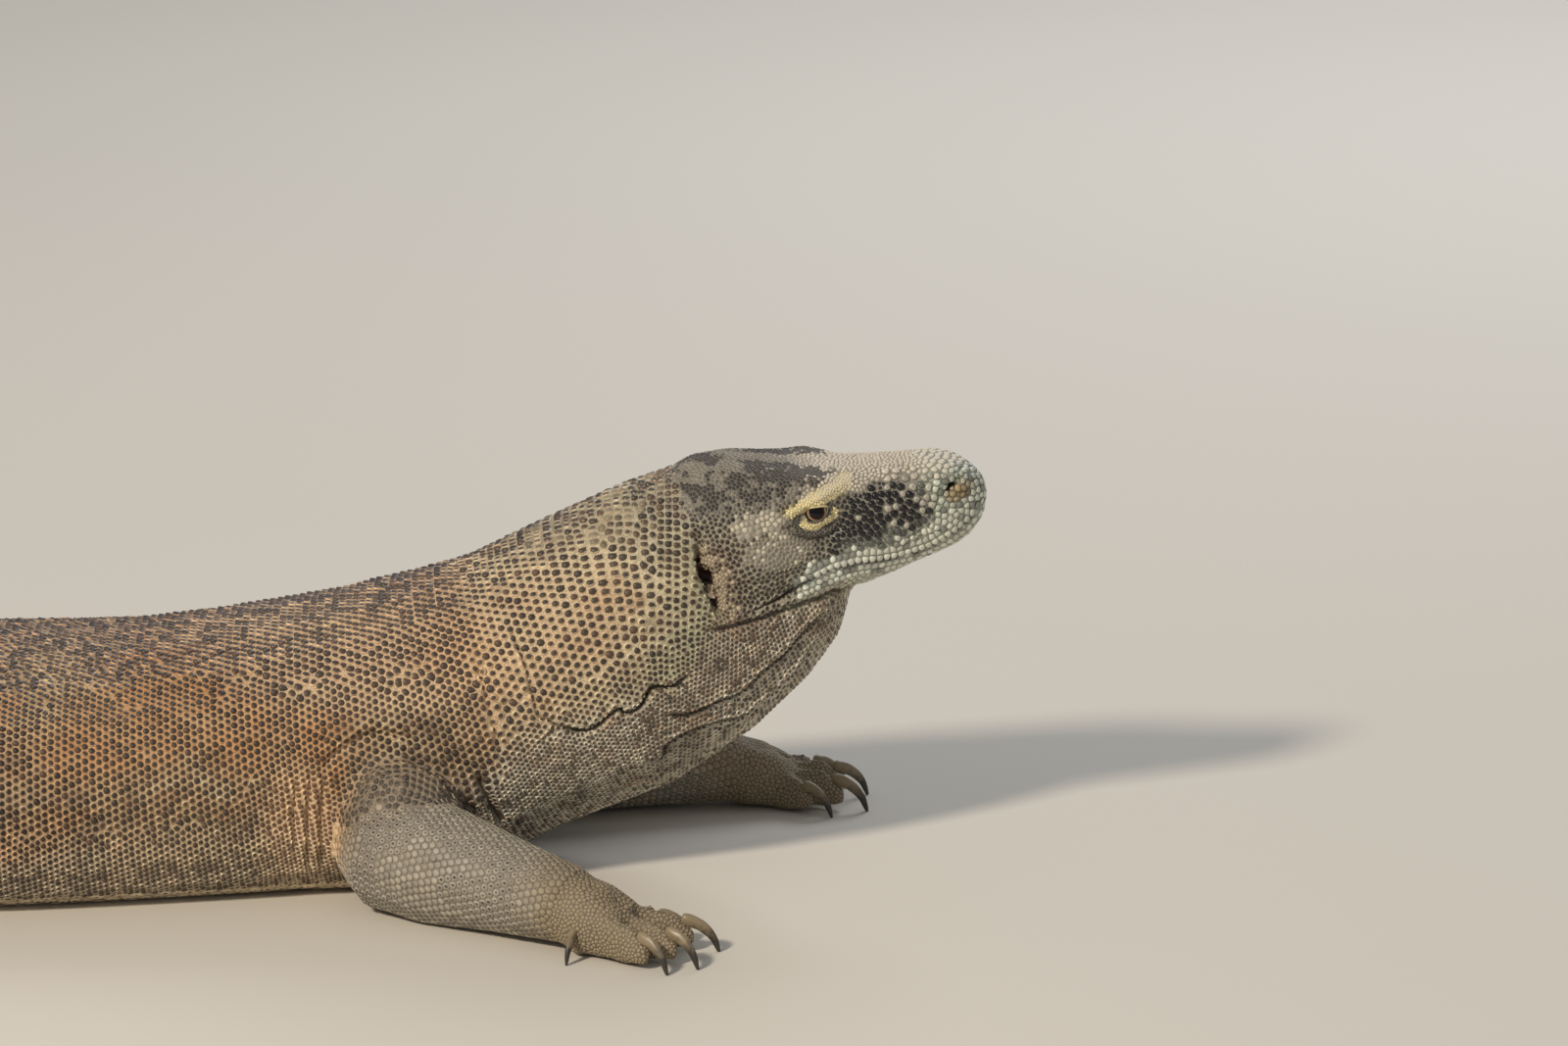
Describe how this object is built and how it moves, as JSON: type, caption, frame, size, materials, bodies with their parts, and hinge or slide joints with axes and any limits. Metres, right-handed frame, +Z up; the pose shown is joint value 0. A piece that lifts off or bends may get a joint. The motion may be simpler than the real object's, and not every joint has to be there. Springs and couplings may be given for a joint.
{
  "type": "komodo dragon",
  "caption": "Large monitor lizard lying on its belly, legs spread, tail in a lazy curve, with its thick neck and blunt head raised and its mouth closed.",
  "frame": {"origin": "on the ground, on the body's midline under the breastbone", "axes": "+X forward towards the head, +Y to the animal's left, +Z up"},
  "size_m": [2.319, 0.7693, 0.2911],
  "materials": {
    "hide_head": "fine pebbled scales, glossy dark beads on the muzzle, pale lips and a yellow brow, dusted with soil on top",
    "hide_neck": "tan hide set with dark bead scales, granular throat in loose folds",
    "hide_trunk": "dark brown bead scales in rows, with rusty orange skin between them on the flanks",
    "hide_limb": "flat overlapping scales dulled by grey-tan dust",
    "horn": "dark horn, worn and dusty",
    "eyeball": "wet, dark brown iris round a black pupil"
  },
  "bodies": {
    "root": {"head": "hide_head", "lower_jaw": "hide_head", "eye_right": "eyeball", "eye_left": "eyeball", "neck": "hide_neck", "throat": "hide_neck", "chest": "hide_trunk", "belly": "hide_trunk", "pelvis": "hide_trunk", "tail_1": "hide_trunk", "tail_2": "hide_trunk", "tail_3": "hide_trunk", "tail_4": "hide_trunk", "tail_5": "hide_trunk", "upper_arm_right": "hide_limb", "forearm_right": "hide_limb", "hand_right": "hide_limb", "upper_arm_left": "hide_limb", "forearm_left": "hide_limb", "hand_left": "hide_limb", "thigh_right": "hide_limb", "shank_right": "hide_limb", "foot_right": "hide_limb", "thigh_left": "hide_limb", "shank_left": "hide_limb", "foot_left": "hide_limb", "claw_foot_left_1": "horn", "claw_foot_left_2": "horn", "claw_foot_left_3": "horn", "claw_foot_left_4": "horn", "claw_foot_left_5": "horn", "claw_foot_right_1": "horn", "claw_foot_right_2": "horn", "claw_foot_right_3": "horn", "claw_foot_right_4": "horn", "claw_foot_right_5": "horn", "claw_hand_left_1": "horn", "claw_hand_left_2": "horn", "claw_hand_left_3": "horn", "claw_hand_left_4": "horn", "claw_hand_left_5": "horn", "claw_hand_right_1": "horn", "claw_hand_right_2": "horn", "claw_hand_right_3": "horn", "claw_hand_right_4": "horn", "claw_hand_right_5": "horn"}
  },
  "joints": []
}
